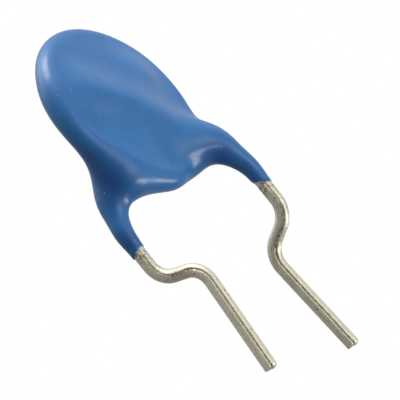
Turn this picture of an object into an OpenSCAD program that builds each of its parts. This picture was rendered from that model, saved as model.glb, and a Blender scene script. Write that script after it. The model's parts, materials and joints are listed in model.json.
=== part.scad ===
// Radial-lead ceramic disc capacitor with a dipped epoxy coat and kinked leads.
//
// Millimetres, +Z up. The disc stands in a plane parallel to XZ and its front face looks along -Y.
// The origin is on the axis of the front lead's straight end, in the plane where both straight ends
// begin: the plane of the board that the part stands on.

/* [Ceramic disc] */
// Diameter of the ceramic
ceramic_d = 7.1; // [6.3:0.1:8.3]
// Thickness of the ceramic
ceramic_t = 0.5; // [0.3:0.05:1]
// Bare ring of ceramic around each silvered face
electrode_margin = 0.35; // [0.2:0.05:0.6]
// Thickness of the fired silver
electrode_t = 0.03; // [0.02:0.01:0.06]
// Sideways offset of the disc from midway between the leads
disc_shift = 0.25; // [0:0.05:0.4]

/* [Solder joints] */
// Solder left between a lead and the silver under it
solder_film = 0.02; // [0.01:0.01:0.06]
// Radius of the solder that wraps a lead
solder_r = 0.5; // [0.44:0.02:0.54]
// Height of the middle of that solder above the silver
solder_rise = 0.07; // [0:0.01:0.12]

/* [Coat] */
// Coat beyond the rim of the ceramic
rim_coat = 0.62; // [0.5:0.02:0.9]
// Coat on each silvered face
face_coat = 0.29; // [0.2:0.01:0.45]
// Roundness of the coat's rim, where 1 is a full half-round
edge_round = 0.98; // [0.6:0.02:0.98]
// Coat over a lead where it crosses the disc
ridge_cover = 0.49; // [0.42:0.01:0.6]
// Coat around a lead where it leaves the disc
root_cover = 0.32; // [0.2:0.01:0.42]
// Coat around a lead at the coat's lower end
end_cover = 0.05; // [0.04:0.01:0.1]
// Depth by which the ridge's middle sinks under the lead, at the lead's inner end
ridge_sink = 0.48; // [0.3:0.01:0.5]
// Reach of the fillets between a lead's cover and the disc
blend = 1.7; // [1.2:0.1:2]
// Run of the coat down the leads, below the disc
coat_run = 1.9; // [1.6:0.1:2.4]

/* [Leads] */
// Diameter of the wire
wire_d = 0.6; // [0.5:0.02:0.64]
// Length of wire soldered across a face
joint_l = 3.5; // [2.6:0.1:3.8]
// Slant of that length across the face, in degrees
joint_slant = 42.5; // [35:0.5:50]
// Where the wire leaves the face: sideways from midway between the leads
joint_x = 1.2; // [0.9:0.05:1.5]
// Where the wire leaves the face: below the middle of the disc
joint_drop = 1.8; // [1.5:0.05:2.1]
// Stand-off of the upright run from the wire's place on the face
upright_lift = 0.53; // [0.3:0.01:0.7]
// Shoulder bend: inward from the upright run
shoulder_in = 0.6; // [0.4:0.05:0.8]
// Shoulder bend: above the bottom of the disc
shoulder_up = 0.86; // [0.6:0.02:1.1]
// Hip bend, where the wire turns upright: below the bottom of the disc
hip_down = 0.71; // [0.5:0.01:0.9]
// Distance between the leads at the board
pitch = 7.5; // [6.5:0.1:9]
// Turn of the line through both feet, seen from above, in degrees
foot_skew = 11; // [0:0.5:16]
// Upright run: outward from the foot
upright_out = 0.05; // [0:0.01:0.3]
// Drop of the kink from the upright run to the foot
kink_drop = 0.8; // [0.6:0.05:1]
// Bend radius of the kink, on the wire's centre line
kink_r = 1.1; // [0.7:0.05:1.1]
// Bare wire between the coat and the corner of the kink
bare_run = 1.24; // [1:0.02:2]
// Length of the straight end below the board plane
end_l = 4.4; // [3:0.1:20]
// Outward lean of the straight end, in degrees
lean_out = 4.6; // [0:0.1:6]
// Forward lean of the straight end, in degrees
lean_front = 1.8; // [0:0.1:4]
// Height of the step that the shears leave on a cut end
shear_step = 0.12; // [0.04:0.02:0.3]

/* [Hidden] */
$fn = 48;

wire_r = wire_d / 2;
face_y = ceramic_t / 2 + electrode_t;
joint_y = face_y + solder_film + wire_r;
upright_y = joint_y + upright_lift;
coat_r = ceramic_d / 2 + rim_coat;
coat_half = face_y + face_coat;
coat_edge = edge_round * coat_half;

// The front lead's route, from its tip up to its inner end. The shoulder takes most of the lift.
foot = [pitch / 2 * cos(foot_skew), pitch / 2 * sin(foot_skew), 0];
end_way = unit([tan(lean_out), -tan(lean_front), -1]);
upright_x = foot.x + upright_out;
// A hair above the board plane the bent run narrows to a neck, which reaches a little way into the
// straight end.
neck = 0.03;
neck_r = 0.85 * wire_r;
neck_reach = 0.1;
kink_way = unit([foot.x - upright_x, foot.y + upright_y, -kink_drop]);
foot_corner = foot - end_way * (neck + kink_r * tan(acos(kink_way * end_way) / 2));
kink_corner = [upright_x, -upright_y, foot_corner.z + kink_drop];
coat_end_z = kink_corner.z + bare_run;
disc_low_z = coat_end_z + coat_run;
disc_z = disc_low_z + coat_r;
shoulder_share = 0.8;
hip = [upright_x, -upright_y, disc_low_z - hip_down];
shoulder = [upright_x - shoulder_in, -joint_y - shoulder_share * upright_lift, disc_low_z + shoulder_up];
lift_off = [joint_x, -joint_y, disc_z - joint_drop];
joint_way = [-cos(joint_slant), 0, sin(joint_slant)];
inner_end = lift_off + joint_way * joint_l;
tip = foot - end_way * end_l / end_way.z;
hip_r = 1.8;
shoulder_r = 1.5;
lift_r = 1.2;
wire_sides = 16;
bend_step = 12;
// The side of the front lead's cut that the shears leave a step back.
shear_way = [-0.5, 0.87, 0];
lead_route = [inner_end, lift_off, shoulder, hip, kink_corner, foot_corner, tip];
lead_radii = [lift_r, shoulder_r, hip_r, kink_r, kink_r];

// The solder's mound runs a little less than its radius past the wire's inner end.
solder_over = 0.3;
mound_sides = 16;
mound_steps = 12;
mound_end = 0.05;

function unit(v) = v / norm(v);
function between(low, v, high) = max(low, min(high, v));
function ease(t) = let (u = between(0, t, 1)) u * u * (3 - 2 * u);
function mix(a, b, t) = a + (b - a) * t;

// ---- Routes ----

// The bend at corner b of the route a, b, c: [centre, way to its start, way of travel there, turn].
function bend(a, b, c, r) =
    let (u = unit(a - b), v = unit(c - b), turn = 180 - acos(u * v))
    let (centre = b + unit(u + v) * r / cos(turn / 2))
    [centre, unit(b + u * r * tan(turn / 2) - centre), -u, turn];

// The points of a route whose corners are rounded.
function rounded(route, radii) = [
    route[0],
    for (i = [1:len(route) - 2])
        let (r = radii[i - 1], arc = bend(route[i - 1], route[i], route[i + 1], r))
            let (steps = ceil(arc[3] / bend_step))
                for (k = [0:steps])
                    let (t = arc[3] * k / steps)
                        arc[0] + (arc[1] * cos(t) + arc[2] * sin(t)) * r,
    route[len(route) - 1]
];

// A ring of points about p, square to the way t.
function ring(p, t, r, sides) =
    let (u = unit([1, 0, 0] - t * t.x), v = cross(t, u))
    [for (k = [0:sides - 1]) p + (u * cos(360 * k / sides) + v * sin(360 * k / sides)) * r];

// Skins a list of rings that have the same count of points, with flat ends. Each patch between two
// rings is split along its shorter diagonal.
module skin(rings) {
    n = len(rings[0]);
    last = len(rings) - 1;
    points = [for (ring = rings) each ring];
    polyhedron(
        points = points,
        faces = [
            [for (k = [0:n - 1]) k],
            for (i = [0:last - 1])
                for (k = [0:n - 1])
                    let (a = i * n + k, b = i * n + (k + 1) % n)
                        each norm(points[a] - points[b + n]) < norm(points[b] - points[a + n])
                            ? [[a, a + n, b + n], [a, b + n, b]]
                            : [[a, a + n, b], [b, a + n, b + n]],
            [for (k = [n - 1:-1:0]) last * n + k]
        ]
    );
}

// A round bar along points, with a radius at each point.
module tube(points, radii, sides) {
    last = len(points) - 1;
    skin([
        for (i = [0:last])
            let (before = points[max(i, 1)] - points[max(i, 1) - 1])
                let (after = points[min(i, last - 1) + 1] - points[min(i, last - 1)])
                    ring(points[i], unit(unit(before) + unit(after)), radii[i], sides)
    ]);
}

// ---- Lead ----

// The bent run of the lead on the front face. It joins the straight end through its neck, and so
// the straight end starts with a clean round face.
module formed_run() {
    bent = rounded([for (i = [0:5]) lead_route[i], foot], lead_radii);
    last = len(bent) - 1;
    points = concat(bent, [foot + end_way * neck_reach]);
    tube(points, [for (i = [0:last + 1]) i < last ? wire_r : neck_r], wire_sides);
}

// The straight end. The shears leave half of its cut a step back; way is the side of that half.
module straight_end(way) {
    x = unit(way - end_way * (way * end_way));
    y = cross(end_way, x);
    multmatrix([for (i = [0:2]) [x[i], y[i], end_way[i], foot[i]]])
        difference() {
            cylinder(r = wire_r, h = norm(tip - foot));
            translate([0, -wire_d, norm(tip - foot) - shear_step])
                cube([wire_d, 2 * wire_d, 2 * shear_step]);
        }
}

module lead(way) {
    color([0.74, 0.71, 0.67]) {
        formed_run();
        straight_end(way);
    }
}

// ---- Coat ----

// The coat's surface is where coat() is zero. It is the smooth union of a disc with a rounded rim
// and of a cover along each lead. On the disc a cover's middle sinks under the lead, which makes
// the ridge low and broad. The rear lead is the front one turned half round the Z axis.
root_share = 0.48;
root_z = mix(shoulder.z, lift_off.z, root_share);
lift_sink = 0.15;
cover_route = [kink_corner, hip, shoulder, lift_off + [0, lift_sink, 0], inner_end + [0, ridge_sink, 0]];

// Each run of a route as [start, way, square of its length].
function runs(points) = [
    for (i = [0:len(points) - 2])
        let (way = points[i + 1] - points[i])
            [points[i], way, way * way]
];

// Distance from p to a run, and the height of the run's nearest point.
function near(p, run) =
    let (c = run[0] + run[1] * between(0, (p - run[0]) * run[1] / run[2], 1))
    [norm(p - c), c.z];

function cover_r(z) =
    wire_r + end_cover
    + (root_cover - end_cover) * ease((z - coat_end_z) / (root_z - coat_end_z))
    + (ridge_cover - root_cover) * ease((z - root_z) / (lift_off.z - root_z));

function cover(p, lead_runs) =
    let (all = [for (run = lead_runs) near(p, run)], low = min([for (n = all) n[0]]))
    low - cover_r([for (n = all) if (n[0] == low) n[1]][0]);

function body(p) =
    let (out = norm([p.x - disc_shift, p.z - disc_z]) - coat_r + coat_edge)
    let (up = abs(p.y) - coat_half + coat_edge)
    norm([max(out, 0), max(up, 0)]) + min(max(out, up), 0) - coat_edge;

function melt(a, b) =
    let (h = max(blend - abs(a - b), 0))
    min(a, b) - h * h / blend / 4;

function coat(p, lead_runs) =
    melt(melt(body(p), cover(p, lead_runs)), cover([-p.x, -p.y, p.z], lead_runs));

// The surface is cut by sections, each a half-plane [height of its edge, angle from +X]. They climb
// the front lead's leg, fan over the disc about an edge just below it and go down the rear leg.
fan_drop = 1.1;
fan_z = disc_low_z - fan_drop;
leg_rows = 3;
root_rows = 8;
top_rows = 16;
ring_points = 48;
crowding = 1.3;
fan_middle = [disc_shift, disc_z - fan_z];
fan_half = asin(coat_r / norm(fan_middle));
fan_lean = atan2(fan_middle.y, fan_middle.x);

// Angles from the leg at 0 to the top at 90, closest together where the sections reach the disc.
function fan(touch) = [
    for (k = [0:root_rows - 1]) touch * (1 - pow(1 - k / root_rows, crowding)),
    for (k = [0:top_rows]) touch + (90 - touch) * pow(k / top_rows, crowding)
];

function sections() =
    let (right = fan(fan_lean - fan_half), left = fan(180 - fan_lean - fan_half))
    [
        for (k = [0:leg_rows - 1]) [mix(coat_end_z, fan_z, k / leg_rows), 0],
        for (angle = right) [fan_z, angle],
        for (k = [len(left) - 2:-1:0]) [fan_z, 180 - left[k]],
        for (k = [leg_rows - 1:-1:0]) [mix(coat_end_z, fan_z, k / leg_rows), 180]
    ];

// A point of a section, from q = [distance from the edge, y].
function place(section, q) =
    [q.x * cos(section[1]), q.y, section[0] + q.x * sin(section[1])];

// A point inside the coat: where the lead's cover crosses the section, or else on the disc's middle.
function start(section) =
    let (rear = section[1] > 90, angle = rear ? 180 - section[1] : section[1])
    let (way = [cos(angle), 0, sin(angle)], side = [-sin(angle), 0, cos(angle)])
    let (route = [for (p = cover_route) p - [0, 0, section[0]]])
    let (found = [
        for (i = [0:len(route) - 2])
            let (a = route[i] * side, b = route[i + 1] * side)
                if (a * b <= 0 && a != b)
                    mix(route[i], route[i + 1], a / (a - b))
    ])
    len(found) > 0
        ? [found[0] * way, rear ? -found[0].y : found[0].y]
        : [disc_shift * cos(section[1]) + (disc_z - section[0]) * sin(section[1]), 0];

// Goes outward (way 1) or inward (way -1) to the section's end, along the middle of its thickness.
// Each step is a share of the depth, and moves aside against the slope of the field.
walk_steps = 24;
walk_share = 0.7;
walk_aside = 0.25;
nudge = [0, 0.02];

function walk(q, way, section, lead_runs, steps) =
    steps == 0
        ? q
        : let (here = coat(place(section, q), lead_runs))
          let (a = coat(place(section, q + nudge), lead_runs), b = coat(place(section, q - nudge), lead_runs))
          let (slope = (a - b) / nudge.y / 2)
          walk([q.x - walk_share * way * here, q.y - walk_aside * slope], way, section, lead_runs, steps - 1);

// Distance from q to the surface along way.
reach_steps = 10;

function reach(q, way, section, lead_runs, t, steps) =
    steps == 0
        ? t
        : reach(q, way, section, lead_runs, t - coat(place(section, q + way * t), lead_runs), steps - 1);

// The section's outline: rays leave a line inside it, all round. The line stops short of both ends.
line_inset = 0.5;

function outline(section, lead_runs) =
    let (q = start(section))
    let (a = walk(q, -1, section, lead_runs, walk_steps), b = walk(q, 1, section, lead_runs, walk_steps))
    let (x = unit(b - a), y = [-x.y, x.x], middle = (a + b) / 2)
    let (half = max(norm(b - a) / 2 - line_inset, 0))
    [
        for (k = [0:ring_points - 1])
            let (t = -360 * k / ring_points, from = middle - x * half * cos(t), way = y * sin(t) - x * cos(t))
                place(section, from + way * reach(from, way, section, lead_runs, 0, reach_steps))
    ];

module coat_shell() {
    lead_runs = runs(rounded(cover_route, [hip_r, shoulder_r, lift_r]));
    skin([for (section = sections()) outline(section, lead_runs)]);
}

// ---- Pieces ----

module on_disc() {
    translate([disc_shift, 0, disc_z])
        rotate([90, 0, 0])
            children();
}

module rear() {
    rotate([0, 0, 180])
        children();
}

// Moves the part so that the front foot is at the origin.
module seated() {
    translate(-foot)
        children();
}

module disc_body() {
    color([0.80, 0.72, 0.58])
        on_disc()
            cylinder(d = ceramic_d, h = ceramic_t, center = true);
}

// The silver of the front face (side 1) or the rear face (side -1).
module silver(side) {
    color([0.82, 0.82, 0.80])
        on_disc()
            translate([0, 0, side * (ceramic_t + electrode_t) / 2])
                cylinder(d = ceramic_d - 2 * electrode_margin, h = electrode_t, center = true);
}

// The mound of solder on the front face: a long drop along the soldered wire, flat on the silver.
module mound() {
    rise = [0, joint_y - face_y - solder_rise, 0];
    a = inner_end + rise - joint_way * solder_over;
    b = lift_off + rise + joint_way * solder_r;
    turns = [for (k = [0:mound_steps]) 180 * k / mound_steps];
    difference() {
        tube([for (t = turns) mix(a, b, (1 - cos(t)) / 2)],
             [for (t = turns) solder_r * sqrt(max(sin(t), mound_end))], mound_sides);
        translate([-ceramic_d, -face_y, disc_z - ceramic_d])
            cube(2 * ceramic_d);
    }
}

module solder() {
    color([0.66, 0.67, 0.68])
        difference() {
            mound();
            formed_run();
        }
}

module epoxy_coating() {
    color([0.17, 0.40, 0.68])
        seated()
            difference() {
                coat_shell();
                disc_body();
                silver(1);
                silver(-1);
                mound();
                formed_run();
                rear() {
                    mound();
                    formed_run();
                }
            }
}

module ceramic_disc() {
    seated()
        disc_body();
}

module front_electrode() {
    seated()
        silver(1);
}

module rear_electrode() {
    seated()
        silver(-1);
}

module front_solder() {
    seated()
        solder();
}

module rear_solder() {
    seated()
        rear()
            solder();
}

module front_lead() {
    seated()
        lead(shear_way);
}

module rear_lead() {
    seated()
        rear()
            lead(-shear_way);
}

epoxy_coating();
ceramic_disc();
front_electrode();
rear_electrode();
front_solder();
rear_solder();
front_lead();
rear_lead();
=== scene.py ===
# %% [markdown]
# # A dipped ceramic disc capacitor
# The part is a ceramic disc with a wire soldered across each face. The whole is dipped in blue
# epoxy, which rounds the disc, climbs over the wires and runs down them in two tapering legs.
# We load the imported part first. Its pieces are already in place and in metres, so everything that
# is made here goes straight where the part says.

# %% Load the part
import json
import bpy
import numpy as np
from mathutils import Matrix, Vector

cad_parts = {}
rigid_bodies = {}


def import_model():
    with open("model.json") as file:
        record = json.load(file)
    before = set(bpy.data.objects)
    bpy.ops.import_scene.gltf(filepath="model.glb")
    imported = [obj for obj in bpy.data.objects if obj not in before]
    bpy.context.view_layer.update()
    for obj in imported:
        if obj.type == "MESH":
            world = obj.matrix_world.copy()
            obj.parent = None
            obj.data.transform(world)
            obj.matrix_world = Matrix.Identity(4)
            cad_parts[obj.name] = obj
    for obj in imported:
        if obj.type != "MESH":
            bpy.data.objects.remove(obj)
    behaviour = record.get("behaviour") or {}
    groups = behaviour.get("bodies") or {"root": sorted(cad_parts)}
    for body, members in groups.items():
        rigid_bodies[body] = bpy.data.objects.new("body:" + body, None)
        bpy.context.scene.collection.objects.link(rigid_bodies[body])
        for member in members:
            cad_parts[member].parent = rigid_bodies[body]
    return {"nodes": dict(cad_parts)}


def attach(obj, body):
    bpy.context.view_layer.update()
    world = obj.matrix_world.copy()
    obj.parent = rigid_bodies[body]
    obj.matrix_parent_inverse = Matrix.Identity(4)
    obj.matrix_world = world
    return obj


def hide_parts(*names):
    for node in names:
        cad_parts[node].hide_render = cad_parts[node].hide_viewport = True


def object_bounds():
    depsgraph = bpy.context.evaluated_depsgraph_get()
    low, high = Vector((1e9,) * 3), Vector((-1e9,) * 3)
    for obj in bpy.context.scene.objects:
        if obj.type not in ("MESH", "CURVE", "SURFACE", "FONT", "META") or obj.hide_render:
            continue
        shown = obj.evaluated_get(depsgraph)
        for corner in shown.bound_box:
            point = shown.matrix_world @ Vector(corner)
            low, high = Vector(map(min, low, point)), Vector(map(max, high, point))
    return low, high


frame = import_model()
cad_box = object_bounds()
MM = 0.001
print("nodes:", ", ".join(sorted(frame["nodes"])))

# %% [markdown]
# ## Driving sizes
# These are the sizes of the real part, in millimetres. The lead is one wire with five bends: it
# crosses the disc's face, lifts off it, bends down at a shoulder and a hip, and has a kink that
# keeps the disc off the board. The rear lead is the front one turned half round the upright axis
# midway between the leads. All shapes are worked out about that axis, and moved at the end.

# %% Sizes
# The board end of a lead: wire, spacing, turn of the feet, straight end, its lean and the kink.
WIRE_R = 0.3
PITCH = 7.5
FOOT_SKEW = 11.0
END_LENGTH = 4.4
LEAN_OUT = 4.6
LEAN_FRONT = 1.8
KINK_R = 1.1
KINK_DROP = 0.8
NECK = 0.03
UPRIGHT_OUT = 0.05
# The bends inside the coat: their radii, and their places from the disc's lowest point.
LIFT_R = 1.2
SHOULDER_R = 1.5
HIP_R = 1.8
HIP_DOWN = 0.71
SHOULDER_IN = 0.6
SHOULDER_UP = 0.86
SHOULDER_SHARE = 0.8
# The run soldered to the disc's face: where it lifts off, its slant in degrees and its length.
JOINT_X = 1.2
JOINT_DROP = 1.8
JOINT_SLANT = 42.5
JOINT_LENGTH = 3.5
# The disc, and how far its face and the lead's middles lie from the part's middle.
CERAMIC_D = 7.1
FACE_Y = 0.28
SOLDER_FILM = 0.02
JOINT_Y = FACE_Y + SOLDER_FILM + WIRE_R
UPRIGHT_LIFT = 0.53
# The coat: how thick it is at the rim and on a face, how round its edge is, and how far it runs.
RIM_COAT = 0.62
FACE_COAT = 0.29
EDGE_ROUND = 0.99
BARE_RUN = 1.24
COAT_RUN = 1.9
COAT_R = CERAMIC_D / 2 + RIM_COAT
COAT_HALF = FACE_Y + FACE_COAT
COAT_EDGE = EDGE_ROUND * COAT_HALF
DISC_SHIFT = 0.25


def unit(v):
    """The vector divided by its length, for one vector or for rows of them."""
    return v / np.linalg.norm(v, axis=-1, keepdims=True)


def ease(t):
    """The smooth step 3t^2 - 2t^3, held at 0 below 0 and at 1 above 1."""
    u = np.clip(t, 0, 1)
    return u * u * (3 - 2 * u)


def half_turn(points):
    """Points turned half round the upright axis: (-x, -y, z)."""
    return points * np.array([-1, -1, 1])


skew = np.radians(FOOT_SKEW)
foot = np.array([PITCH / 2 * np.cos(skew), PITCH / 2 * np.sin(skew), 0])
end_way = unit(np.array([np.tan(np.radians(LEAN_OUT)), -np.tan(np.radians(LEAN_FRONT)), -1]))
upright_x = foot[0] + UPRIGHT_OUT
upright_y = JOINT_Y + UPRIGHT_LIFT
kink_way = unit(np.array([foot[0] - upright_x, foot[1] + upright_y, -KINK_DROP]))
foot_corner = foot - end_way * (NECK + KINK_R * np.tan(np.arccos(kink_way @ end_way) / 2))
kink_corner = np.array([upright_x, -upright_y, foot_corner[2] + KINK_DROP])
coat_end_z = kink_corner[2] + BARE_RUN
disc_low_z = coat_end_z + COAT_RUN
disc_z = disc_low_z + COAT_R
hip = np.array([upright_x, -upright_y, disc_low_z - HIP_DOWN])
shoulder_y = -JOINT_Y - SHOULDER_SHARE * UPRIGHT_LIFT
shoulder = np.array([upright_x - SHOULDER_IN, shoulder_y, disc_low_z + SHOULDER_UP])
lift_off = np.array([JOINT_X, -JOINT_Y, disc_z - JOINT_DROP])
slant = np.radians(JOINT_SLANT)
inner_end = lift_off + JOINT_LENGTH * np.array([-np.cos(slant), 0, np.sin(slant)])
tip = foot - end_way * END_LENGTH / end_way[2]
print("disc centre %.2f mm above the board, coat ends at %.2f mm" % (disc_z, coat_end_z))

# %% [markdown]
# ## Routes with rounded corners
# A bent wire is straight between its bends, and each bend is an arc that both straight runs touch.
# The arc's centre lies on the line that halves the corner. One helper makes such a route, and it
# serves the bare wire as well as the coat that follows it.


# %% Routes
def straight(a, b, step):
    """Points inside the run from a to b, evenly spaced."""
    n = int(np.linalg.norm(b - a) / step)
    return [a + (b - a) * k / (n + 1) for k in range(1, n + 1)]


def rounded(corners, radii, step):
    """Straight runs joined by arcs: centre + r (x cos t + y sin t), points about step apart."""
    points = [corners[0]]
    for i, r in enumerate(radii, start=1):
        u = unit(corners[i - 1] - corners[i])
        v = unit(corners[i + 1] - corners[i])
        turn = np.pi - np.arccos(u @ v)
        centre = corners[i] + unit(u + v) * r / np.cos(turn / 2)
        x = unit(corners[i] + u * r * np.tan(turn / 2) - centre)
        t = np.linspace(0, turn, max(3, int(np.ceil(r * turn / step)) + 1))[:, None]
        arc = centre + r * (x * np.cos(t) - u * np.sin(t))
        points += straight(points[-1], arc[0], step) + list(arc)
    return np.array(points + straight(points[-1], corners[-1], step) + [corners[-1]])


ROUTE_STEP = 0.05
END_RAISED = 0.4
lead_corners = [inner_end, lift_off, shoulder, hip, kink_corner, foot_corner, tip]
route = rounded(lead_corners, [LIFT_R, SHOULDER_R, HIP_R, KINK_R, KINK_R], ROUTE_STEP)
walked = np.append(0, np.cumsum(np.linalg.norm(np.diff(route, axis=0), axis=1)))
bare_from = np.interp(-coat_end_z - END_RAISED, -route[:, 2], walked)
print("lead route: %d points, %.1f mm of wire" % (len(route), walked[-1]))
print("bare from %.1f mm on" % bare_from)

# %% [markdown]
# ## From a grid to a mesh
# Every piece here is a grid of points: rings that follow each other. Neighbouring rings are joined
# by four-sided faces, and both ends are closed by one flat face each. The faces must point
# outwards, so their order is turned where the enclosed volume comes out negative. Each corner also
# gets two numbers, the share of the way round and the length along, so that a finish can follow
# the piece.

# %% Mesh helper
ROOT = "root"


def make_piece(name, grid, node, along=None):
    """A closed mesh from an array of rings that replaces a node and rides on the part."""
    rings, sides, _ = grid.shape
    along = np.arange(rings) if along is None else along
    i, k = np.meshgrid(np.arange(rings - 1), np.arange(sides), indexing="ij")
    step_i, step_k = np.array([0, 0, 1, 1]), np.array([0, 1, 1, 0])
    ring = (i[..., None] + step_i).reshape(-1, 4)
    turn = (k[..., None] + step_k).reshape(-1, 4)
    quads = ring * sides + turn % sides
    marks = np.stack([turn / sides, along[ring]], -1)
    points = (grid.reshape(-1, 3) - foot) * MM
    a, b, c, d = (points[quads[:, j]] for j in range(4))
    volume = ((a * np.cross(b, c)).sum() + (a * np.cross(c, d)).sum()) / 6
    ends = [list(range(sides))[::-1], [(rings - 1) * sides + j for j in range(sides)]]
    if volume < 0:
        quads, marks, ends = quads[:, ::-1], marks[:, ::-1], [end[::-1] for end in ends]
    mesh = bpy.data.meshes.new(name)
    mesh.from_pydata(points.tolist(), [], quads.tolist() + ends)
    mesh.polygons.foreach_set("use_smooth", [True] * len(quads) + [False] * 2)
    end_marks = np.array([[(j % sides) / sides, along[j // sides]] for end in ends for j in end])
    layer = mesh.uv_layers.new(name="around_along")
    layer.data.foreach_set("uv", np.concatenate([marks.reshape(-1, 2), end_marks]).ravel())
    mesh.update()
    piece = bpy.data.objects.new(name, mesh)
    bpy.context.scene.collection.objects.link(piece)
    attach(piece, ROOT)
    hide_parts(node)
    print(name, "-", rings, "rings of", sides, "points,", 2 * len(quads), "triangles")
    print("volume: %.1f mm3" % (abs(volume) / MM ** 3))
    return piece


# %% [markdown]
# ## The coat as a field
# Epoxy that has flowed and set has no sharp inner corners. A good description is a field: at each
# point, roughly the distance to the surface, negative inside. The disc is a cylinder with a
# rounded rim. Along each lead runs a cover whose radius grows from the coat's end up to the disc.
# A smooth minimum melts them together, and gives the soft fillets where a wire lies under the skin.
# Last come low, soft swells, because a dipped skin is never quite even. Each is a place, a width
# and a height.

# %% Field
BLEND = 1.84
END_COVER = 0.05
ROOT_COVER = 0.29
RIDGE_COVER = 0.24
ROOT_SHARE = 0.26
RIDGE_X = 1.60
RIDGE_SINK = 0.35
RIDGE_DROP = 1.87
RIDGE_SLANT = np.radians(38.8)
RIDGE_HALF = 2.2
RIDGE_BULGE = 0.26
RIDGE_FADE = 0.17
RIDGE_R = 2.0
COVER_STEP = 0.3
cover_shoulder = shoulder + [-0.04, -0.03, 0.04]
ridge_low = np.array([RIDGE_X, -JOINT_Y + RIDGE_SINK, disc_z - RIDGE_DROP])
ridge_way = np.array([-np.cos(RIDGE_SLANT), 0, np.sin(RIDGE_SLANT)])
ridge_mid = ridge_low + RIDGE_HALF * ridge_way - [0, RIDGE_BULGE, 0]
ridge_high = ridge_low + 2 * RIDGE_HALF * ridge_way + [0, RIDGE_FADE, 0]
cover_corners = [kink_corner, hip, cover_shoulder, ridge_low, ridge_mid, ridge_high]
cover_route = rounded(cover_corners, [HIP_R, SHOULDER_R, LIFT_R, RIDGE_R], COVER_STEP)
root_z = cover_shoulder[2] + ROOT_SHARE * (ridge_low[2] - cover_shoulder[2])
SWELLS = np.array([
    (-0.20, -0.64, 10.88, 1.31, 0.124),
    (2.09, -0.84, 10.19, 1.31, 0.064),
    (-3.25, -0.62, 9.62, 1.31, -0.062),
    (2.58, -1.53, 5.54, 1.31, -0.053),
    (-1.55, -0.47, 5.27, 1.31, 0.040),
    (-3.85, 0.28, 9.03, 1.31, 0.041),
    (1.04, -0.85, 6.03, 0.50, 0.044),
    (0.81, -0.69, 5.67, 0.50, 0.073),
    (1.40, -0.91, 5.78, 0.50, 0.144),
    (1.03, -0.59, 5.15, 0.50, -0.171),
    (1.81, -1.04, 5.58, 0.50, -0.103),
    (2.17, -1.19, 5.48, 0.50, 0.189),
    (2.15, -0.95, 5.24, 0.50, -0.105),
    (1.95, -1.21, 5.79, 0.50, 0.043),
    (-3.39, 0.17, 5.76, 0.50, -0.062),
    (-3.52, 0.46, 5.37, 0.50, 0.091),
    (-3.20, 0.29, 5.27, 0.50, 0.086),
    (-3.32, 0.48, 4.91, 0.50, -0.136),
    (-2.77, 0.17, 5.22, 0.50, -0.032),
    (-2.98, -0.27, 5.73, 0.50, 0.123),
    (-2.57, -0.45, 5.59, 0.50, 0.074),
    (-2.49, 0.03, 5.20, 0.50, 0.059),
])


def cover(p):
    """Distance to the cover's middle line, less a radius that depends on height."""
    best = np.full(len(p), 1e9)
    height = np.zeros(len(p))
    for a, b in zip(cover_route[:-1], cover_route[1:]):
        way = b - a
        t = np.clip((p - a) @ way / (way @ way), 0, 1)
        near = a + t[:, None] * way
        d = ((p - near) ** 2).sum(1)
        height = np.where(d < best, near[:, 2], height)
        best = np.minimum(d, best)
    rise = ease((height - coat_end_z) / (root_z - coat_end_z))
    swell = ease((height - root_z) / (ridge_low[2] - root_z))
    radius = (WIRE_R + END_COVER
              + (ROOT_COVER - END_COVER) * rise + (RIDGE_COVER - ROOT_COVER) * swell)
    return np.sqrt(best) - radius


def disc(p):
    """Distance to a flat cylinder with a rounded rim."""
    out = np.hypot(p[:, 0] - DISC_SHIFT, p[:, 2] - disc_z) - COAT_R + COAT_EDGE
    up = np.abs(p[:, 1]) - COAT_HALF + COAT_EDGE
    outside = np.hypot(np.maximum(out, 0), np.maximum(up, 0))
    return outside + np.minimum(np.maximum(out, up), 0) - COAT_EDGE


def melt(a, b):
    """Smooth minimum: min(a, b) less h^2 / 4k, where h is how far the two are closer than k."""
    h = np.maximum(BLEND - np.abs(a - b), 0)
    return np.minimum(a, b) - h * h / BLEND / 4


def soft_sum(p, places):
    """The sum over places (x, y, z, w, h) of h times exp(-d^2 / 2w^2), at distance d."""
    d2 = ((p[:, None] - places[None, :, :3]) ** 2).sum(2)
    return np.exp(-d2 / (2 * places[:, 3] ** 2)) @ places[:, 4]


def coat(p):
    """The coat's field for rows of points."""
    return melt(melt(disc(p), cover(p)), cover(half_turn(p))) - soft_sum(p, SWELLS)


probe = np.array([[DISC_SHIFT, 0, disc_z], hip])
print("field in the middle of the disc: %.2f mm, at the hip: %.2f mm" % tuple(coat(probe)))

# %% [markdown]
# ## Sections of the coat
# To turn the field into a clean grid, the coat is cut by half-planes, like the ribs of a fan. They
# climb the front leg, fan over the disc about an edge just below it, and go down the rear leg.
# Where the sections first touch the disc they lie closer together, because the outline changes
# fastest there.

# %% Section planes
FAN_DROP = 1.1
LEG_ROWS = 34
ROOT_ROWS = 60
TOP_ROWS = 100
RING_POINTS = 232
CROWDING = 1.3

fan_z = disc_low_z - FAN_DROP
middle = np.array([DISC_SHIFT, disc_z - fan_z])
touch_half = np.degrees(np.arcsin(COAT_R / np.hypot(*middle)))
touch_lean = np.degrees(np.arctan2(middle[1], middle[0]))


def fan(touch):
    """Angles from 0 at the leg to 90 at the top, closest together at the touch angle."""
    k = np.arange(ROOT_ROWS) / ROOT_ROWS
    m = np.arange(TOP_ROWS + 1) / TOP_ROWS
    return np.concatenate([touch * (1 - (1 - k) ** CROWDING), touch + (90 - touch) * m ** CROWDING])


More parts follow.
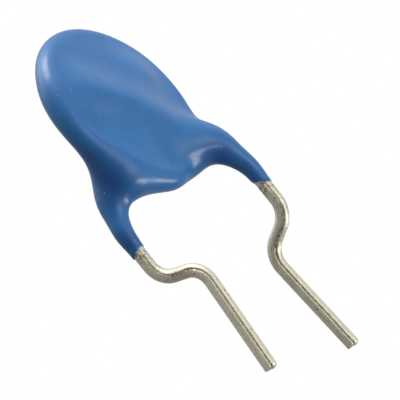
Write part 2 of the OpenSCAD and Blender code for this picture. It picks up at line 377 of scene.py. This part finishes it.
leg_z = np.linspace(coat_end_z, fan_z, LEG_ROWS, endpoint=False)
right = fan(touch_lean - touch_half)
left = fan(180 - touch_lean - touch_half)
edge_z = np.concatenate([leg_z, np.full(len(right) + len(left) - 1, fan_z), leg_z[::-1]])
angle = np.radians(np.concatenate([0 * leg_z, right, 180 - left[-2::-1], 180 + 0 * leg_z]))
section_x = np.stack([np.cos(angle), 0 * angle, np.sin(angle)], -1)
section_0 = np.stack([0 * edge_z, 0 * edge_z, edge_z], -1)


def place(q):
    """Space points of every section: edge + q0 times the section's way + q1 along Y."""
    return section_0[:, None] + q[..., :1] * section_x[:, None] + q[..., 1:] * np.array([0, 1, 0])


def field(q):
    """The coat's field at section points."""
    return coat(place(q).reshape(-1, 3)).reshape(q.shape[:2])


touches = (right[ROOT_ROWS], 180 - left[ROOT_ROWS])
print(len(angle), "sections, touching the disc at %.1f and %.1f degrees" % touches)

# %% [markdown]
# ## The outline in each section
# Rays need a place to start from. Where the lead's cover crosses the section we start there, and
# elsewhere on the disc's middle. A short walk along the middle of the thickness finds both ends of
# the outline. Rays then leave the line between the ends in all directions, and each advances by
# the field's value until it meets the skin.


# %% Outlines
def start_points():
    """For each section, where its lead's cover crosses it, or else the disc's middle."""
    starts = []
    for x, o, a in zip(section_x, section_0, angle):
        points = (cover_route if a <= np.pi / 2 else half_turn(cover_route)) - o
        side = points @ np.array([-x[2], 0, x[0]])
        hit = np.nonzero(side[:-1] * side[1:] <= 0)[0]
        p = np.array([DISC_SHIFT, 0, disc_z]) - o
        if len(hit):
            i = hit[0]
            p = points[i] + (points[i + 1] - points[i]) * side[i] / (side[i] - side[i + 1])
        starts.append([p @ x, p[1] if len(hit) else 0])
    return np.array(starts)


WALK_STEPS = 30
WALK_SHARE = 0.7
WALK_DAMPING = 8
NUDGE = 0.02
REACH_STEPS = 14
LINE_INSET = 0.5


def walk(q, way):
    """Steps of a share of the depth towards an end, moved aside against the field's slope."""
    nudge = np.array([0, NUDGE])
    for _ in range(WALK_STEPS):
        slope = field((q + nudge)[:, None])[:, 0] - field((q - nudge)[:, None])[:, 0]
        depth = field(q[:, None])[:, 0]
        aside = slope / NUDGE / WALK_DAMPING
        q = np.stack([q[:, 0] - WALK_SHARE * way * depth, q[:, 1] - aside], -1)
    return q


starts = start_points()
inner, outer = walk(starts, -1), walk(starts, 1)
span = np.linalg.norm(outer - inner, axis=1, keepdims=True)
along = (outer - inner) / span
across = np.stack([-along[:, 1], along[:, 0]], -1)
line_half = along * np.maximum(span / 2 - LINE_INSET, 0)
turn = np.linspace(0, 2 * np.pi, RING_POINTS, endpoint=False)[None, :, None]
origin = ((inner + outer) / 2)[:, None] - line_half[:, None] * np.cos(turn)
ray = across[:, None] * np.sin(turn) - along[:, None] * np.cos(turn)
reach = np.zeros(origin.shape[:2])
for _ in range(REACH_STEPS):
    reach -= field(origin + ray * reach[..., None])
coat_grid = place(origin + ray * reach[..., None])
print("largest distance from the skin: %.4f mm" % np.abs(coat(coat_grid.reshape(-1, 3))).max())

# %% [markdown]
# ## Where the coat ends
# A dipped coat doesn't end in a clean ring. It hangs lower on one side of the wire, its edge is
# uneven, and it thins out to a rounded lip. We move the lower rings of each leg up or down as a
# function of the angle round the wire, and add a few rings that roll over onto the wire.

# %% Coat ends
LIP = 0.06
LIP_SINK = 0.06
LIP_TUCK = 0.004
LIP_TURNS = np.radians([90, 60, 30])
EDGE_WAVES = [(0.018, 3, 1.0), (0.014, 5, 2.6), (0.012, 8, 0.4)]
TONGUE_WIDTH = np.radians(22)


def edge_shift(t, end):
    """How far the edge is raised at angle t: a height, a tilt, waves and one hanging tongue."""
    waves = sum(size * np.sin(count * t + start) for size, count, start in EDGE_WAVES)
    gap = np.angle(np.exp(1j * (t - np.radians(end["tongue_side"]))))
    tongue = end["tongue"] * np.exp(-(gap / TONGUE_WIDTH) ** 2)
    return end["height"] - end["tilt"] * np.cos(t - np.radians(end["low_side"])) + waves - tongue


def shape_end(rows, axis, end):
    """Shifts the rings of one leg, lowest first, and returns them after the rings of the lip."""
    arm = rows - axis
    t = np.arctan2(arm[..., 1], arm[..., 0])
    fade = 1 - ease(np.arange(len(rows)) / (len(rows) - 1))[:, None]
    rows = rows + fade[..., None] * edge_shift(t, end)[..., None] * [0, 0, 1]
    out = unit(arm[0] * [1, 1, 0])
    thick = np.linalg.norm(arm[0, :, :2], axis=1, keepdims=True) - WIRE_R
    height = rows[0, :, 2:] * [0, 0, 1]
    lip = [axis + out * (WIRE_R - LIP_SINK) + height - [0, 0, LIP]]
    for a in LIP_TURNS:
        reach_out = WIRE_R - LIP_TUCK + thick * np.cos(a)
        lip.append(axis + out * reach_out + height - [0, 0, LIP * np.sin(a)])
    return np.concatenate([np.array(lip), rows])


front_axis = np.array([upright_x, -upright_y, 0])
front_end = {"height": 0.45, "tilt": 0.17, "low_side": 300, "tongue": 0.08, "tongue_side": 255}
rear_end = {"height": 0.33, "tilt": 0.07, "low_side": 120, "tongue": 0.12, "tongue_side": 125}
front_rows = shape_end(coat_grid[:LEG_ROWS], front_axis, front_end)
rear_rows = shape_end(coat_grid[::-1][:LEG_ROWS], half_turn(front_axis), rear_end)
coat_grid = np.concatenate([front_rows, coat_grid[LEG_ROWS:-LEG_ROWS], rear_rows[::-1]])
epoxy = make_piece("epoxy_coat", coat_grid, "epoxy_coating")

# %% [markdown]
# ## Painted shade in the hollows
# The coat's colour is painted darker in the hollows beside the leads and low on the legs, where
# shade falls. A few places of this painted shade are listed. A number from 0 to 1 is stored at
# every point of the coat for the finish to use. Each place counts on both faces, because the rear
# lead is the front one turned half round.

# %% Painted shade
# Places of painted shade: x, y, z and width in millimetres, then strength.
SHADE_SPOTS = np.array([
    (-3.55, 0.20, 6.14, 0.50, 0.65),
    (-3.69, 0.20, 7.36, 0.45, 0.38),
    (-3.35, 0.22, 5.35, 0.45, 0.32),
    (-4.03, 0.88, 3.58, 0.50, 0.45),
    (2.37, -0.99, 5.05, 0.50, 0.52),
])

coat_points = coat_grid.reshape(-1, 3)
painted_shade = np.minimum(soft_sum(coat_points, SHADE_SPOTS) + soft_sum(half_turn(coat_points), SHADE_SPOTS), 1)
epoxy.data.attributes.new("painted_shade", "FLOAT", "POINT").data.foreach_set("value", painted_shade)
print("shaded share: %.2f on average, %.2f at most" % (painted_shade.mean(), painted_shade.max()))

# %% [markdown]
# ## The leads
# Each lead is a drawn round wire. A ring is carried along the route, square to it. Its middle
# point always faces the same way, so that a groove left by the drawing die stays on one side.
# The bending flattened it, so it's faint up to the straight end. The wire was cut by shears: one
# half of the end is flat, the other half is a rounded lobe, and the groove makes a notch between
# them. The end is made of rings that shrink to the middle and follow that relief.

# %% Leads
LEAD_SIDES = 96
GROOVE_SIDE = unit(np.array([-0.706, -0.674, -0.219]))
GROOVE_DEPTH = 0.035
GROOVE_HALF = np.radians(7)
GROOVE_CROWDING = 1.35
FAINT_GROOVE = 0.4
GROOVE_BEFORE = 1.5
GROOVE_FADE = 0.9
LOBE_WAY = np.array([0.5, -0.87, 0])
LOBE_HEIGHT = 0.05
LOBE_FALL = 0.11
CUT_FALL = 0.02
CUT_REACH = 0.4
NOTCH = 1.5
CUT_RINGS = [0.97, 0.9, 0.8, 0.65, 0.45, 0.25, 0.06]
deepens = ease((walked - walked[-1] + END_LENGTH + GROOVE_BEFORE) / GROOVE_FADE)
groove_share = FAINT_GROOVE + (1 - FAINT_GROOVE) * deepens


def relief(side, rho):
    """Height of the cut end: a lobe on one side that falls off at the rim, and a flat cut."""
    lobe = ease((side + 0.15) / 0.3)
    return lobe * (LOBE_HEIGHT - LOBE_FALL * rho ** 4) - (1 - lobe) * CUT_FALL * rho ** 6


def lead_grid(points, groove, lobe):
    """Rings: centre + r (u cos t + v sin t), -u to the groove, less a groove half way round."""
    way = unit(np.gradient(points, axis=0))
    u = -unit(groove - way * (way @ groove)[:, None])
    v = np.cross(way, u)
    share = np.linspace(-1, 1, LEAD_SIDES, endpoint=False)
    t = np.pi * (1 + np.sign(share) * np.abs(share) ** GROOVE_CROWDING)[:, None]
    spokes = u[:, None] * np.cos(t) + v[:, None] * np.sin(t)
    gap = np.angle(np.exp(1j * (t - np.pi)))
    dent = GROOVE_DEPTH * np.exp(-(gap / GROOVE_HALF) ** 2)
    grid = points[:, None] + (WIRE_R - dent * groove_share[:, None, None]) * spokes
    side = spokes[-1] @ unit(lobe - way[-1] * (way[-1] @ lobe))
    near = np.clip(1 - (walked[-1] - walked) / CUT_REACH, 0, 1)[:, None, None]
    grid = grid + near * relief(side, 1.0)[:, None] * way[-1]
    rho = np.array(CUT_RINGS)[:, None, None]
    height = relief(side[None, :, None] * rho, rho) - NOTCH * dent * rho ** 2
    cut = points[-1] + (WIRE_R - dent) * rho * spokes[-1] + height * way[-1]
    return np.concatenate([grid, cut])


cut_along = WIRE_R * np.arange(1, len(CUT_RINGS) + 1) / len(CUT_RINGS)
lead_along = np.append(walked, walked[-1] + cut_along)
front_grid = lead_grid(route, GROOVE_SIDE, LOBE_WAY)
rear_grid = lead_grid(half_turn(route), GROOVE_SIDE, LOBE_WAY)
front_lead = make_piece("front_wire", front_grid, "front_lead", lead_along)
rear_lead = make_piece("rear_wire", rear_grid, "rear_lead", lead_along)

# %% [markdown]
# ## Helpers for finishes
# Every finish is a small tree of nodes that reads the piece's own coordinates in metres, so
# a pattern has a real size. Two effects serve several finishes and are groups: fine grain, and
# scattered specks.


# %% Node helpers
def add(tree, kind, **settings):
    """A node of a kind, with its settings made."""
    node = tree.nodes.new(kind)
    for name, value in settings.items():
        setattr(node, name, value)
    return node


def math(tree, operation, first, second):
    """One sum of two values, each a number or another node's output; returns the output."""
    node = add(tree, "ShaderNodeMath", operation=operation)
    for socket, value in zip(node.inputs, (first, second)):
        if isinstance(value, (int, float)):
            socket.default_value = value
        else:
            tree.links.new(value, socket)
    return node.outputs[0]


def remap(tree, value, low, high, to_low=0.0, to_high=1.0):
    """A value carried smoothly from one range to another; returns the output."""
    node = add(tree, "ShaderNodeMapRange", interpolation_type="SMOOTHSTEP")
    ends = {"From Min": low, "From Max": high, "To Min": to_low, "To Max": to_high}
    for name, number in ends.items():
        node.inputs[name].default_value = number
    tree.links.new(value, node.inputs["Value"])
    return node.outputs["Result"]


def blend(tree, factor, first, second):
    """A mix of two colours, each a tuple or another node's output; returns the output."""
    node = add(tree, "ShaderNodeMix", data_type="RGBA")
    tree.links.new(factor, node.inputs["Factor"])
    for socket, value in ((node.inputs[6], first), (node.inputs[7], second)):
        if isinstance(value, tuple):
            socket.default_value = (*value, 1)
        else:
            tree.links.new(value, socket)
    return node.outputs[2]


def noise(tree, vector, scale, detail=2.0):
    """Smooth noise with a count of waves per metre; returns its value between 0 and 1."""
    node = add(tree, "ShaderNodeTexNoise")
    tree.links.new(vector, node.inputs["Vector"])
    node.inputs["Detail"].default_value = detail
    if isinstance(scale, (int, float)):
        node.inputs["Scale"].default_value = scale
    else:
        tree.links.new(scale, node.inputs["Scale"])
    return node.outputs["Fac"]


def new_group(name, inputs, output):
    """A node group with number inputs and one number output."""
    tree = bpy.data.node_groups.new(name, "ShaderNodeTree")
    kind = "NodeSocketFloat"
    for title, value in inputs.items():
        socket = tree.interface.new_socket(name=title, in_out="INPUT", socket_type=kind)
        socket.default_value = value
    tree.interface.new_socket(name=output, in_out="OUTPUT", socket_type=kind)
    return tree, add(tree, "NodeGroupInput"), add(tree, "NodeGroupOutput")


def use_group(tree, group, **values):
    """Puts a group in a tree with its values set; returns its output."""
    node = add(tree, "ShaderNodeGroup", node_tree=group)
    for title, value in values.items():
        node.inputs[title].default_value = value
    return node.outputs[0]


# %% Grain and specks
grain_group, entry, leave = new_group("fine_grain", {"Scale": 4000.0}, "Grain")
place_node = add(grain_group, "ShaderNodeTexCoord")
grain_value = noise(grain_group, place_node.outputs["Object"], entry.outputs["Scale"], 3.0)
grain_group.links.new(grain_value, leave.inputs["Grain"])

speck_inputs = {"Scale": 3000.0, "Size": 0.1, "Share": 0.2}
speck_group, entry, leave = new_group("specks", speck_inputs, "Specks")
place_node = add(speck_group, "ShaderNodeTexCoord")
cells = add(speck_group, "ShaderNodeTexVoronoi")
cells.inputs["Randomness"].default_value = 1.0
speck_group.links.new(place_node.outputs["Object"], cells.inputs["Vector"])
speck_group.links.new(entry.outputs["Scale"], cells.inputs["Scale"])
split = add(speck_group, "ShaderNodeSeparateColor")
speck_group.links.new(cells.outputs["Color"], split.inputs["Color"])
chosen = math(speck_group, "LESS_THAN", split.outputs["Red"], entry.outputs["Share"])
ratio = math(speck_group, "DIVIDE", cells.outputs["Distance"], entry.outputs["Size"])
round_spot = remap(speck_group, ratio, 0.5, 1.0, 1.0, 0.0)
speck_group.links.new(math(speck_group, "MULTIPLY", chosen, round_spot), leave.inputs["Specks"])
print("groups:", ", ".join(group.name for group in bpy.data.node_groups))


# %% [markdown]
# ## Blue epoxy
# The coat is opaque blue with a clear, even gloss. It has pinholes where air escaped, a few pale
# specks of dust, and a skin that is slightly uneven like orange peel.

# %% Epoxy
def new_material(name):
    """A material with one Principled shader: returns it, its tree and the shader."""
    material = bpy.data.materials.new(name)
    material.use_nodes = True
    return material, material.node_tree, material.node_tree.nodes["Principled BSDF"]


def add_bump(tree, shader, height, depth):
    """A bump whose height of 1 stands for a depth in metres."""
    bump = add(tree, "ShaderNodeBump")
    bump.inputs["Strength"].default_value = 1.0
    bump.inputs["Distance"].default_value = depth
    tree.links.new(height, bump.inputs["Height"])
    tree.links.new(bump.outputs["Normal"], shader.inputs["Normal"])


EPOXY_LIGHT = (0.023, 0.158, 0.415)
EPOXY_DARK = (0.018, 0.140, 0.380)
EPOXY_SHADE = (0.002, 0.036, 0.210)
PINHOLE = (0.004, 0.012, 0.035)
PALE_DUST = (0.45, 0.52, 0.60)
PEEL_DEPTH = 0.000008


def epoxy_material():
    """Glossy blue, with painted shade in the hollows, mottling, pinholes, dust and an orange-peel
    skin.
    """
    material, tree, shader = new_material("blue_epoxy")
    mottle = remap(tree, use_group(tree, grain_group, Scale=900.0), 0.3, 0.7)
    pinholes = use_group(tree, speck_group, Scale=2600.0, Size=0.10, Share=0.8)
    dust = use_group(tree, speck_group, Scale=1600.0, Size=0.06, Share=0.6)
    shade_amount = add(tree, "ShaderNodeAttribute", attribute_name="painted_shade").outputs["Fac"]
    color = blend(tree, mottle, EPOXY_DARK, EPOXY_LIGHT)
    # Painted shade: the colour turns deep blue in the hollows beside the leads and low on the legs.
    color = blend(tree, shade_amount, color, EPOXY_SHADE)
    color = blend(tree, math(tree, "MULTIPLY", pinholes, 0.75), color, PINHOLE)
    color = blend(tree, math(tree, "MULTIPLY", dust, 0.5), color, PALE_DUST)
    tree.links.new(color, shader.inputs["Base Color"])
    shader.inputs["Roughness"].default_value = 0.25
    shader.inputs["IOR"].default_value = 1.5
    peel = use_group(tree, grain_group, Scale=2600.0)
    slow = use_group(tree, grain_group, Scale=700.0)
    height = math(tree, "ADD", math(tree, "MULTIPLY", peel, 0.35), slow)
    height = math(tree, "SUBTRACT", height, pinholes)
    add_bump(tree, shader, height, PEEL_DEPTH)
    return material


epoxy.data.materials.append(epoxy_material())

# %% [markdown]
# ## Tinned wire
# Hot tin leaves a dull, warm grey skin, finely mottled, with faint streaks along the wire. The
# groove is painted dark, unevenly: a painted reflection of the dark side where the camera stands.
# It is placed by the share of the way round the wire, so it follows the bends, and it is painted
# wider in the kink. A few green-blue specks are epoxy dust, and brown flux speckles the wire where
# the coat ends.


# %% Tin
TIN_DARK = (0.72, 0.67, 0.51)
TIN_LIGHT = (0.88, 0.83, 0.67)
TIN_MOTTLE = (0.40, 0.37, 0.28)
TIN_PIT = (0.25, 0.22, 0.17)
DARK_REFLECTION = (0.14, 0.12, 0.08)
FLUX = (0.12, 0.08, 0.05)
EPOXY_DUST = (0.05, 0.20, 0.25)
STREAK_STRETCH = (24, 1.2, 1)
KINK_STARTS = (bare_from + 0.4, bare_from + 1.6)
KINK_ENDS = (bare_from + 3.0, bare_from + 3.9)
KINK_REFLECTION_SPREAD = 1.3
GROOVE_SHARES = (0.018, 0.055)
FLUX_REACH = 1.3
TIN_DEPTH = 0.000005


def tin_material():
    """Dull mottled metal: streaks, a painted dark reflection in the groove, pits, epoxy dust, flux.
    """
    material, tree, shader = new_material("tinned_wire")
    marks = add(tree, "ShaderNodeUVMap", uv_map="around_along").outputs["UV"]
    split = add(tree, "ShaderNodeSeparateXYZ")
    tree.links.new(marks, split.inputs[0])
    around, length = split.outputs["X"], split.outputs["Y"]
    stretch = add(tree, "ShaderNodeVectorMath", operation="MULTIPLY")
    stretch.inputs[1].default_value = STREAK_STRETCH
    tree.links.new(marks, stretch.inputs[0])
    streaks = remap(tree, noise(tree, stretch.outputs[0], 1.0, 3.0), 0.3, 0.7)
    # The groove is painted dark as a painted reflection of the camera side, and painted wider in
    # the kink.
    from_groove = math(tree, "ABSOLUTE", math(tree, "SUBTRACT", around, 0.5), 0.0)
    kink_in = remap(tree, length, *KINK_STARTS)
    kink_out = remap(tree, length, *KINK_ENDS, 1.0, 0.0)
    in_kink = math(tree, "MULTIPLY", kink_in, kink_out)
    width = math(tree, "ADD", math(tree, "MULTIPLY", in_kink, KINK_REFLECTION_SPREAD), 1.0)
    groove = remap(tree, math(tree, "DIVIDE", from_groove, width), *GROOVE_SHARES, 1.0, 0.0)
    grain = use_group(tree, grain_group, Scale=9000.0)
    pits = use_group(tree, speck_group, Scale=4500.0, Size=0.25, Share=0.5)
    dust = use_group(tree, speck_group, Scale=2600.0, Size=0.15, Share=0.9)
    mottle = remap(tree, use_group(tree, grain_group, Scale=6500.0), 0.42, 0.58)
    groove = math(tree, "MULTIPLY", groove, remap(tree, mottle, 0.0, 1.0, 0.55, 1.0))
    flux = remap(tree, use_group(tree, grain_group, Scale=5200.0), 0.50, 0.60)
    near_coat = remap(tree, length, bare_from, bare_from + FLUX_REACH, 1.0, 0.0)
    flux = math(tree, "MULTIPLY", flux, math(tree, "MULTIPLY", near_coat, 0.7))
    color = blend(tree, streaks, TIN_DARK, TIN_LIGHT)
    color = blend(tree, math(tree, "MULTIPLY", mottle, 0.24), color, TIN_MOTTLE)
    color = blend(tree, math(tree, "MULTIPLY", pits, 0.25), color, TIN_PIT)
    # Painted dark reflection along the groove.
    color = blend(tree, math(tree, "MULTIPLY", groove, 0.8), color, DARK_REFLECTION)
    color = blend(tree, flux, color, FLUX)
    color = blend(tree, math(tree, "MULTIPLY", dust, 0.8), color, EPOXY_DUST)
    tree.links.new(color, shader.inputs["Base Color"])
    shader.inputs["Metallic"].default_value = 0.7
    tree.links.new(remap(tree, mottle, 0.0, 1.0, 0.34, 0.48), shader.inputs["Roughness"])
    height = math(tree, "ADD", math(tree, "MULTIPLY", streaks, 0.5), grain)
    height = math(tree, "SUBTRACT", height, math(tree, "MULTIPLY", mottle, 0.8))
    height = math(tree, "SUBTRACT", height, pits)
    add_bump(tree, shader, height, TIN_DEPTH)
    return material


tin = tin_material()
for piece in (front_lead, rear_lead):
    piece.data.materials.append(tin)

# %% [markdown]
# ## Inside the coat
# The ceramic, its silvered faces and the solder are inside the coat and come from the part as they
# are. They only get a finish.


# %% Inner pieces
CERAMIC_DARK = (0.40, 0.29, 0.17)
CERAMIC_LIGHT = (0.52, 0.40, 0.25)
CERAMIC_SPECK = (0.12, 0.08, 0.05)
CERAMIC_DEPTH = 0.000004


def metal_material(name, low, high, low_rough, high_rough, scale, depth):
    """A metal whose colour, roughness and height follow fine grain."""
    material, tree, shader = new_material(name)
    grain = use_group(tree, grain_group, Scale=scale)
    color = blend(tree, remap(tree, grain, 0.3, 0.7), low, high)
    tree.links.new(color, shader.inputs["Base Color"])
    shader.inputs["Metallic"].default_value = 1.0
    tree.links.new(remap(tree, grain, 0.3, 0.7, low_rough, high_rough), shader.inputs["Roughness"])
    add_bump(tree, shader, grain, depth)
    return material


def ceramic_material():
    """Fired tan ceramic: matt, with fine grain and a few dark specks."""
    material, tree, shader = new_material("fired_ceramic")
    grain = use_group(tree, grain_group, Scale=9000.0)
    specks = use_group(tree, speck_group, Scale=3500.0, Size=0.15, Share=0.15)
    color = blend(tree, remap(tree, grain, 0.3, 0.7), CERAMIC_DARK, CERAMIC_LIGHT)
    color = blend(tree, math(tree, "MULTIPLY", specks, 0.6), color, CERAMIC_SPECK)
    tree.links.new(color, shader.inputs["Base Color"])
    shader.inputs["Roughness"].default_value = 0.75
    add_bump(tree, shader, grain, CERAMIC_DEPTH)
    return material


silver = metal_material(
    "fired_silver", (0.70, 0.69, 0.66), (0.82, 0.81, 0.78), 0.40, 0.55, 7000.0, 0.000003)
solder = metal_material(
    "solder", (0.46, 0.46, 0.46), (0.60, 0.60, 0.59), 0.22, 0.38, 2500.0, 0.000006)
finishes = {
    "ceramic_disc": ceramic_material(),
    "front_electrode": silver, "rear_electrode": silver,
    "front_solder": solder, "rear_solder": solder,
    "epoxy_coating": epoxy.data.materials[0],
    "front_lead": tin, "rear_lead": tin,
}
for piece in bpy.data.objects:
    if piece.type == "MESH" and piece.name.split(".")[0] in finishes:
        for slot in piece.material_slots:
            slot.material = finishes[piece.name.split(".")[0]]
        print(piece.name, "->", [slot.material.name for slot in piece.material_slots])

# %% [markdown]
# ## Camera
# A long lens looks a little upwards at the part, from in front and from the left, and is rolled so
# that the leads point to the lower right.

# %% Camera
AZIMUTH = np.radians(58.5486)
LOOK_UP = np.radians(12.2345)
ROLL = np.radians(-38.8427)
TARGET = Vector((-2.5579, -0.5061, 3.9500)) * MM
DISTANCE = 0.29
FIELD = np.radians(3.28622)

level = Vector((np.cos(AZIMUTH), -np.sin(AZIMUTH), 0))
forward = Vector((
    np.sin(AZIMUTH) * np.cos(LOOK_UP), np.cos(AZIMUTH) * np.cos(LOOK_UP), np.sin(LOOK_UP)))
upright = level.cross(forward)
view_right = level * np.cos(ROLL) + upright * np.sin(ROLL)
view_up = upright * np.cos(ROLL) - level * np.sin(ROLL)

camera_data = bpy.data.cameras.new("camera")
camera_data.sensor_width = 36.0
camera_data.angle = FIELD
camera_data.clip_start = 0.01
camera_data.clip_end = 10.0
camera = bpy.data.objects.new("camera", camera_data)
bpy.context.scene.collection.objects.link(camera)
camera_axes = Matrix((view_right, view_up, -forward)).transposed()
camera.matrix_world = Matrix.Translation(TARGET - forward * DISTANCE) @ camera_axes.to_4x4()
bpy.context.scene.camera = camera

# %% [markdown]
# ## Floor and light
# The floor is a pale plane under the tips of the leads, seen from above only. The light comes
# from two soft boxes and from wide, soft glows around the part. Each is given by its direction as
# the camera sees it: to the right, up, and towards the camera. A glow also has a sharpness and a
# strength. A box has the direction of its length, its width and length in metres, and its watts.

# %% Floor
FLOOR_Z = cad_box[0][2]
FLOOR_HALF = 0.6


def make_floor():
    """A wide flat floor under the lead tips, which only the camera sees, and only from above."""
    turns = ((-1, -1), (1, -1), (1, 1), (-1, 1))
    corners = [(x * FLOOR_HALF, y * FLOOR_HALF, FLOOR_Z) for x, y in turns]
    mesh = bpy.data.meshes.new("floor")
    mesh.from_pydata(corners, [], [(0, 1, 2, 3)])
    floor = bpy.data.objects.new("floor", mesh)
    bpy.context.scene.collection.objects.link(floor)
    material, tree, shader = new_material("pale_floor")
    shader.inputs["Base Color"].default_value = (0.80, 0.80, 0.80, 1)
    shader.inputs["Roughness"].default_value = 0.9
    shader.inputs["Specular IOR Level"].default_value = 0.0
    clear = add(tree, "ShaderNodeBsdfTransparent")
    pick = add(tree, "ShaderNodeMixShader")
    path = add(tree, "ShaderNodeLightPath")
    geometry = add(tree, "ShaderNodeNewGeometry")
    from_above = math(tree, "SUBTRACT", 1.0, geometry.outputs["Backfacing"])
    shown = math(tree, "MULTIPLY", path.outputs["Is Camera Ray"], from_above)
    tree.links.new(shown, pick.inputs["Fac"])
    tree.links.new(clear.outputs["BSDF"], pick.inputs[1])
    tree.links.new(shader.outputs["BSDF"], pick.inputs[2])
    tree.links.new(pick.outputs["Shader"], tree.nodes["Material Output"].inputs["Surface"])
    mesh.materials.append(material)


make_floor()


# %% World
def seen(right_part, up_part, near_part):
    """The direction that the camera sees as this far right, up and towards it."""
    return (view_right * right_part + view_up * up_part - forward * near_part).normalized()


AMBIENT = 0.21
GLOWS = [
    (-0.20, 0.98, -0.03, 7.0, 1.8),
    (-0.75, 0.57, -0.34, 11.0, 2.6),
    (0.66, 0.48, 0.57, 14.0, 2.0),
    (0.99, 0.05, 0.13, 8.0, 0.85),
    (0.50, 0.66, -0.57, 14.0, 0.47),
    (-0.95, 0.00, -0.30, 2.5, 0.17),
]
BACKDROP = 0.32
BACKDROP_RANGE = (0.50, 0.95)


def make_world():
    """Glows exp(k (d . c - 1)) added up, white behind the part for gloss, white to the camera."""
    world = bpy.data.worlds.new("studio")
    bpy.context.scene.world = world
    world.use_nodes = True
    tree = world.node_tree
    tree.nodes.clear()
    way = add(tree, "ShaderNodeTexCoord").outputs["Generated"]
    total = None
    for right_part, up_part, near_part, sharpness, strength in GLOWS:
        dot = add(tree, "ShaderNodeVectorMath", operation="DOT_PRODUCT")
        tree.links.new(way, dot.inputs[0])
        dot.inputs[1].default_value = seen(right_part, up_part, near_part)
        power = math(tree, "MULTIPLY", math(tree, "SUBTRACT", dot.outputs["Value"], 1.0), sharpness)
        glow = math(tree, "MULTIPLY", math(tree, "EXPONENT", power, 0.0), strength)
        total = math(tree, "ADD", glow, AMBIENT if total is None else total)
    dot = add(tree, "ShaderNodeVectorMath", operation="DOT_PRODUCT")
    tree.links.new(way, dot.inputs[0])
    dot.inputs[1].default_value = forward
    path = add(tree, "ShaderNodeLightPath")
    behind = remap(tree, dot.outputs["Value"], *BACKDROP_RANGE)
    glossy, through = path.outputs["Is Glossy Ray"], path.outputs["Is Transmission Ray"]
    gloss = math(tree, "MAXIMUM", glossy, through)
    backdrop = math(tree, "MULTIPLY", gloss, math(tree, "MULTIPLY", behind, BACKDROP))
    white = math(tree, "MAXIMUM", path.outputs["Is Camera Ray"], backdrop)
    soft = math(tree, "MULTIPLY", total, math(tree, "SUBTRACT", 1.0, white))
    background = add(tree, "ShaderNodeBackground")
    background.inputs["Color"].default_value = (1, 1, 1, 1)
    tree.links.new(math(tree, "ADD", soft, white), background.inputs["Strength"])
    output = add(tree, "ShaderNodeOutputWorld")
    tree.links.new(background.outputs["Background"], output.inputs["Surface"])


make_world()

# %% Lamps
LAMPS = [
    ("top_box", (-0.47, 0.88, -0.09), (0, 0, 1), 0.16, 0.16, 0.45),
    ("side_box", (0.955, -0.25, 0.02), (0, 0, 1), 0.085, 0.27, 0.355),
]
LAMP_DISTANCE = 0.35


def make_lamp(name, place, along, width, length, watts):
    """A soft box that looks at the part, with its length turned towards a direction."""
    way = seen(*place)
    side = seen(*along).cross(way).normalized()
    data = bpy.data.lights.new(name, "AREA")
    data.shape = "RECTANGLE"
    data.size, data.size_y, data.energy = width, length, watts
    lamp = bpy.data.objects.new(name, data)
    bpy.context.scene.collection.objects.link(lamp)
    axes = Matrix((side, way.cross(side), way)).transposed()
    lamp.matrix_world = Matrix.Translation(TARGET + way * LAMP_DISTANCE) @ axes.to_4x4()


for lamp in LAMPS:
    make_lamp(*lamp)

# %% Close
bpy.context.scene.view_settings.view_transform = "Standard"
